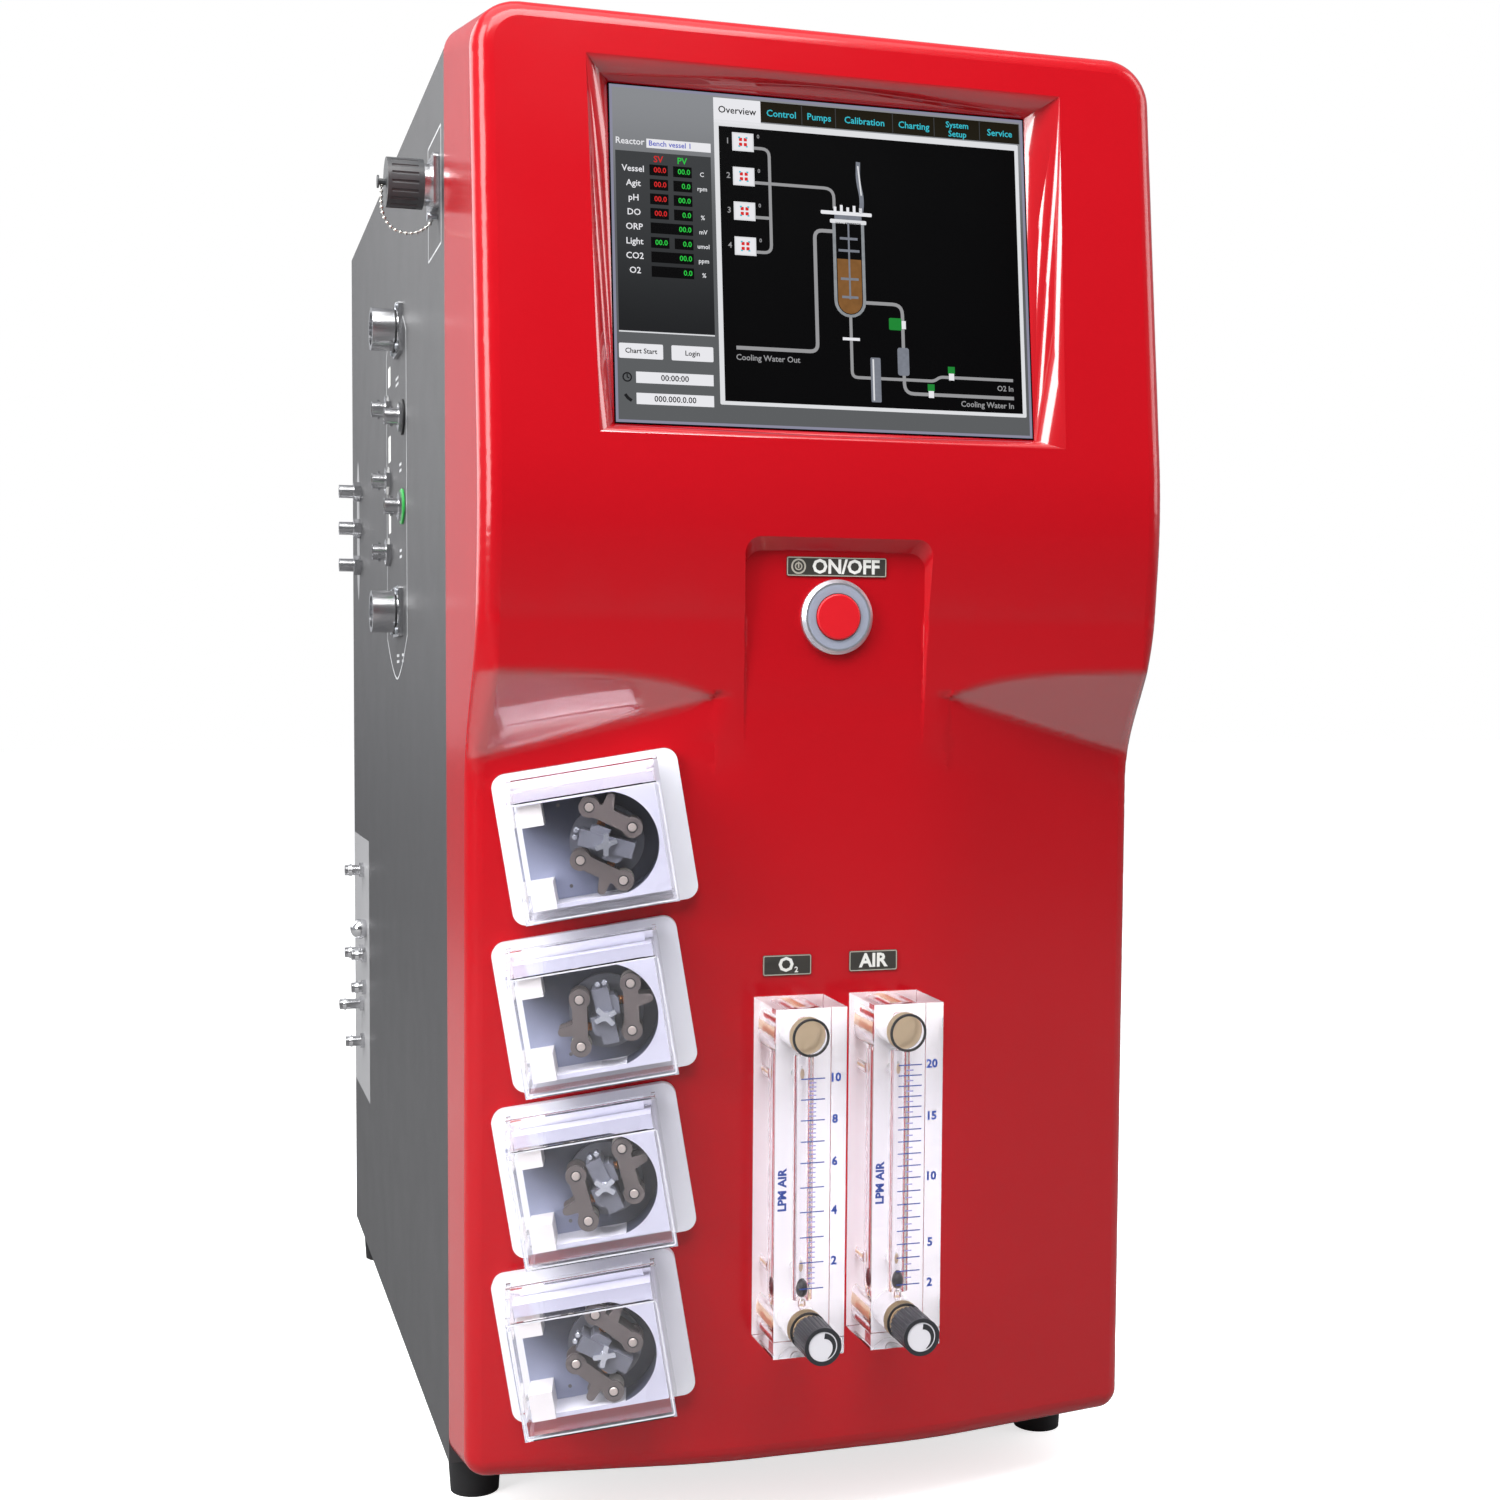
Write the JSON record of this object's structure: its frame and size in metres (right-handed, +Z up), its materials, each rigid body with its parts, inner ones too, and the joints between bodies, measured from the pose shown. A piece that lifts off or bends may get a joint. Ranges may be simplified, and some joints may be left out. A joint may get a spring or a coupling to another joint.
{
  "type": "bench bioreactor controller",
  "caption": "Bench bioreactor control console: red moulded front with sloped touch screen, peristaltic pumps behind clear covers, flowmeters and a grey cabinet.",
  "frame": {"origin": "centre of the footprint box on the bench, under the feet", "axes": "+Z up, -Y out of the display side, +X to the right as the user faces it"},
  "size_m": [0.38, 0.6304, 0.744],
  "materials": {
    "red_moulding": "moulded, satin gloss",
    "cabinet_grey": "powder coat, satin",
    "black_rubber": "moulded",
    "zinc_screws": "zinc plated",
    "display_glass": "polished",
    "display_frame": "moulded",
    "bright_ring": "bright chrome",
    "button_red": "polished",
    "switch_black": "moulded",
    "plate_white": "printed film",
    "clear_acrylic": "polished",
    "brass_fittings": "turned",
    "float_black": "polished",
    "knob_black": "ribbed",
    "pump_white": "moulded",
    "clear_cover": "polished",
    "rotor_grey": "moulded",
    "arm_grey": "moulded",
    "roller_white": "turned",
    "copper_spring": "drawn wire",
    "clamp_white": "moulded",
    "motor_steel": "plated",
    "bright_metal": "nickel plated",
    "cap_black": "ribbed",
    "chain_nickel": "nickel plated",
    "board_green": "lacquered"
  },
  "bodies": {
    "console": {"base_pan": "cabinet_grey", "button_ring": "bright_ring", "button_switch": "switch_black", "cabinet_shell": "cabinet_grey", "cap_chain": "chain_nickel", "case_screws": "zinc_screws", "control_board": "board_green", "display_module": "display_frame", "flowmeter_1": "clear_acrylic", "flowmeter_2": "clear_acrylic", "flowmeter_fittings": "brass_fittings", "front_cover": "red_moulding", "hose_fittings": "bright_metal", "name_plates": "plate_white", "panel_sockets": "bright_metal", "power_inlet": "switch_black", "power_supply": "motor_steel", "pump_1_housing": "pump_white", "pump_2_housing": "pump_white", "pump_3_housing": "pump_white", "pump_4_housing": "pump_white", "pump_motors": "motor_steel", "rear_panel": "cabinet_grey", "rubber_feet": "black_rubber", "touch_screen": "display_glass", "tube_clamps": "clamp_white"},
    "pump_1_cover": {"pump_1_cover": "clear_cover"},
    "pump_1_rotor": {"pump_1_rotor": "rotor_grey", "pump_1_springs": "copper_spring"},
    "pump_1_arm_a": {"pump_1_arm_a": "arm_grey"},
    "pump_1_roller_a": {"pump_1_roller_a": "roller_white"},
    "pump_1_arm_b": {"pump_1_arm_b": "arm_grey"},
    "pump_1_roller_b": {"pump_1_roller_b": "roller_white"},
    "pump_2_cover": {"pump_2_cover": "clear_cover"},
    "pump_2_rotor": {"pump_2_rotor": "rotor_grey", "pump_2_springs": "copper_spring"},
    "pump_2_arm_a": {"pump_2_arm_a": "arm_grey"},
    "pump_2_roller_a": {"pump_2_roller_a": "roller_white"},
    "pump_2_arm_b": {"pump_2_arm_b": "arm_grey"},
    "pump_2_roller_b": {"pump_2_roller_b": "roller_white"},
    "pump_3_cover": {"pump_3_cover": "clear_cover"},
    "pump_3_rotor": {"pump_3_rotor": "rotor_grey", "pump_3_springs": "copper_spring"},
    "pump_3_arm_a": {"pump_3_arm_a": "arm_grey"},
    "pump_3_roller_a": {"pump_3_roller_a": "roller_white"},
    "pump_3_arm_b": {"pump_3_arm_b": "arm_grey"},
    "pump_3_roller_b": {"pump_3_roller_b": "roller_white"},
    "pump_4_cover": {"pump_4_cover": "clear_cover"},
    "pump_4_rotor": {"pump_4_rotor": "rotor_grey", "pump_4_springs": "copper_spring"},
    "pump_4_arm_a": {"pump_4_arm_a": "arm_grey"},
    "pump_4_roller_a": {"pump_4_roller_a": "roller_white"},
    "pump_4_arm_b": {"pump_4_arm_b": "arm_grey"},
    "pump_4_roller_b": {"pump_4_roller_b": "roller_white"},
    "power_button": {"button_cap": "button_red"},
    "valve_knob_1": {"valve_knob_1": "knob_black"},
    "float_1": {"float_1": "float_black"},
    "valve_knob_2": {"valve_knob_2": "knob_black"},
    "float_2": {"float_2": "float_black"},
    "socket_cap": {"socket_cap": "cap_black"}
  },
  "joints": [
    {"name": "pump_1_cover_hinge", "type": "hinge", "parent": "console", "child": "pump_1_cover", "pos_m": [-0.10742, -0.26136, 0.37351], "axis": [-0.9565, 0.2431, -0.1612], "range_deg": [0, 40]},
    {"name": "pump_1_rotor_spin", "type": "hinge", "parent": "console", "child": "pump_1_rotor", "pos_m": [-0.09403, -0.25159, 0.34292], "axis": [-0.2425, -0.9699, -0.0239], "continuous": true},
    {"name": "pump_1_arm_a_pivot", "type": "hinge", "parent": "pump_1_rotor", "child": "pump_1_arm_a", "pos_m": [-0.08692, -0.27261, 0.35007], "axis": [-0.2425, -0.9699, -0.0239], "range_deg": [0, 6], "stiffness_Nm_per_rad": 1, "springref_deg": -5.73},
    {"name": "pump_1_roller_a_spin", "type": "hinge", "parent": "pump_1_arm_a", "child": "pump_1_roller_a", "pos_m": [-0.10627, -0.26801, 0.35948], "axis": [-0.2425, -0.9699, -0.0239], "continuous": true},
    {"name": "pump_1_arm_b_pivot", "type": "hinge", "parent": "pump_1_rotor", "child": "pump_1_arm_b", "pos_m": [-0.11012, -0.26644, 0.33488], "axis": [-0.2425, -0.9699, -0.0239], "range_deg": [0, 6], "stiffness_Nm_per_rad": 1, "springref_deg": -5.73},
    {"name": "pump_1_roller_b_spin", "type": "hinge", "parent": "pump_1_arm_b", "child": "pump_1_roller_b", "pos_m": [-0.09077, -0.27105, 0.32547], "axis": [-0.2425, -0.9699, -0.0239], "continuous": true},
    {"name": "pump_2_cover_hinge", "type": "hinge", "parent": "console", "child": "pump_2_cover", "pos_m": [-0.10742, -0.2594, 0.29371], "axis": [-0.9565, 0.2431, -0.1612], "range_deg": [0, 40]},
    {"name": "pump_2_rotor_spin", "type": "hinge", "parent": "console", "child": "pump_2_rotor", "pos_m": [-0.09403, -0.24962, 0.26312], "axis": [-0.2425, -0.9699, -0.0239], "continuous": true},
    {"name": "pump_2_arm_a_pivot", "type": "hinge", "parent": "pump_2_rotor", "child": "pump_2_arm_a", "pos_m": [-0.08659, -0.27037, 0.2555], "axis": [-0.2425, -0.9699, -0.0239], "range_deg": [0, 6], "stiffness_Nm_per_rad": 1, "springref_deg": -5.73},
    {"name": "pump_2_roller_a_spin", "type": "hinge", "parent": "pump_2_arm_a", "child": "pump_2_roller_a", "pos_m": [-0.08745, -0.27069, 0.27748], "axis": [-0.2425, -0.9699, -0.0239], "continuous": true},
    {"name": "pump_2_arm_b_pivot", "type": "hinge", "parent": "pump_2_rotor", "child": "pump_2_arm_b", "pos_m": [-0.11045, -0.26476, 0.26985], "axis": [-0.2425, -0.9699, -0.0239], "range_deg": [0, 6], "stiffness_Nm_per_rad": 1, "springref_deg": -5.73},
    {"name": "pump_2_roller_b_spin", "type": "hinge", "parent": "pump_2_arm_b", "child": "pump_2_roller_b", "pos_m": [-0.10958, -0.26443, 0.24787], "axis": [-0.2425, -0.9699, -0.0239], "continuous": true},
    {"name": "pump_3_cover_hinge", "type": "hinge", "parent": "console", "child": "pump_3_cover", "pos_m": [-0.10742, -0.25744, 0.21391], "axis": [-0.9565, 0.2431, -0.1612], "range_deg": [0, 40]},
    {"name": "pump_3_rotor_spin", "type": "hinge", "parent": "console", "child": "pump_3_rotor", "pos_m": [-0.09403, -0.24766, 0.18332], "axis": [-0.2425, -0.9699, -0.0239], "continuous": true},
    {"name": "pump_3_arm_a_pivot", "type": "hinge", "parent": "pump_3_rotor", "child": "pump_3_arm_a", "pos_m": [-0.08534, -0.26879, 0.17864], "axis": [-0.2425, -0.9699, -0.0239], "range_deg": [0, 6], "stiffness_Nm_per_rad": 1, "springref_deg": -5.73},
    {"name": "pump_3_roller_a_spin", "type": "hinge", "parent": "pump_3_arm_a", "child": "pump_3_roller_a", "pos_m": [-0.09098, -0.2679, 0.19988], "axis": [-0.2425, -0.9699, -0.0239], "continuous": true},
    {"name": "pump_3_arm_b_pivot", "type": "hinge", "parent": "pump_3_rotor", "child": "pump_3_arm_b", "pos_m": [-0.11169, -0.26241, 0.18711], "axis": [-0.2425, -0.9699, -0.0239], "range_deg": [0, 6], "stiffness_Nm_per_rad": 1, "springref_deg": -5.73},
    {"name": "pump_3_roller_b_spin", "type": "hinge", "parent": "pump_3_arm_b", "child": "pump_3_roller_b", "pos_m": [-0.10605, -0.2633, 0.16587], "axis": [-0.2425, -0.9699, -0.0239], "continuous": true},
    {"name": "pump_4_cover_hinge", "type": "hinge", "parent": "console", "child": "pump_4_cover", "pos_m": [-0.10742, -0.25547, 0.13411], "axis": [-0.9565, 0.2431, -0.1612], "range_deg": [0, 40]},
    {"name": "pump_4_rotor_spin", "type": "hinge", "parent": "console", "child": "pump_4_rotor", "pos_m": [-0.09403, -0.24569, 0.10352], "axis": [-0.2425, -0.9699, -0.0239], "continuous": true},
    {"name": "pump_4_arm_a_pivot", "type": "hinge", "parent": "pump_4_rotor", "child": "pump_4_arm_a", "pos_m": [-0.08565, -0.26698, 0.10808], "axis": [-0.2425, -0.9699, -0.0239], "range_deg": [0, 6], "stiffness_Nm_per_rad": 1, "springref_deg": -5.73},
    {"name": "pump_4_roller_a_spin", "type": "hinge", "parent": "pump_4_arm_a", "child": "pump_4_roller_a", "pos_m": [-0.10277, -0.26302, 0.12132], "axis": [-0.2425, -0.9699, -0.0239], "continuous": true},
    {"name": "pump_4_arm_b_pivot", "type": "hinge", "parent": "pump_4_rotor", "child": "pump_4_arm_b", "pos_m": [-0.11139, -0.2603, 0.09807], "axis": [-0.2425, -0.9699, -0.0239], "range_deg": [0, 6], "stiffness_Nm_per_rad": 1, "springref_deg": -5.73},
    {"name": "pump_4_roller_b_spin", "type": "hinge", "parent": "pump_4_arm_b", "child": "pump_4_roller_b", "pos_m": [-0.09427, -0.26425, 0.08483], "axis": [-0.2425, -0.9699, -0.0239], "continuous": true},
    {"name": "power_button_press", "type": "slide", "parent": "console", "child": "power_button", "axis": [0, 0.9997, 0.0246], "range_m": [0, 0.0025], "stiffness_N_per_m": 600, "springref_m": -0.002},
    {"name": "valve_knob_1_turn", "type": "hinge", "parent": "console", "child": "valve_knob_1", "pos_m": [-0.00735, -0.29426, 0.11214], "axis": [0, -0.9997, -0.0246], "range_deg": [0, 1800]},
    {"name": "float_1_rise", "type": "slide", "parent": "console", "child": "float_1", "axis": [0, -0.0246, 0.9997], "range_m": [0, 0.1076]},
    {"name": "valve_knob_2_turn", "type": "hinge", "parent": "console", "child": "valve_knob_2", "pos_m": [0.04115, -0.29426, 0.11214], "axis": [0, -0.9997, -0.0246], "range_deg": [0, 1800]},
    {"name": "float_2_rise", "type": "slide", "parent": "console", "child": "float_2", "axis": [0, -0.0246, 0.9997], "range_m": [0, 0.1076]},
    {"name": "socket_cap_twist", "type": "hinge", "parent": "console", "child": "socket_cap", "pos_m": [-0.16705, -0.14733, 0.672], "axis": [-1, 0, 0], "range_deg": [0, 540]}
  ]
}
